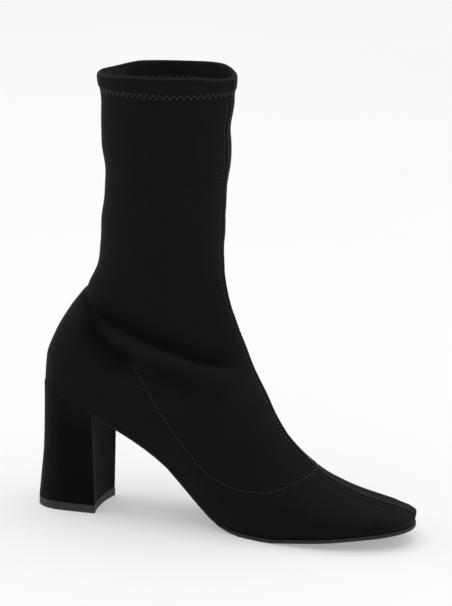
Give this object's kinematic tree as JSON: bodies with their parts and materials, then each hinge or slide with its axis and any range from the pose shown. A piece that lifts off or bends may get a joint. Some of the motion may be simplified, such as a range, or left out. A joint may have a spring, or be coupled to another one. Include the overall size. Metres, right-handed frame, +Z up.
{
  "type": "sock boot",
  "caption": "Left pull-on ankle sock boot: close-fitting fabric upper with a hemmed collar, a thin outsole, a block heel with a tip, and a loose insole.",
  "frame": {"origin": "centre of the bounding box's bottom, on the floor the boot stands on", "axes": "+X to the toe, +Y to the boot's left, which is its outer side, +Z up"},
  "size_m": [0.2428, 0.0828, 0.2727],
  "materials": {
    "microsuede": "matt black napped microsuede",
    "heel_microsuede": "matt black napped microsuede stretched over the heel",
    "rubber": "satin dark grey",
    "tip_rubber": "satin dark grey",
    "insole_lining": "matt black woven lining"
  },
  "bodies": {
    "root": {"upper": "microsuede", "outsole": "rubber", "heel_block": "heel_microsuede", "heel_tip": "tip_rubber", "insole": "insole_lining"}
  },
  "joints": []
}
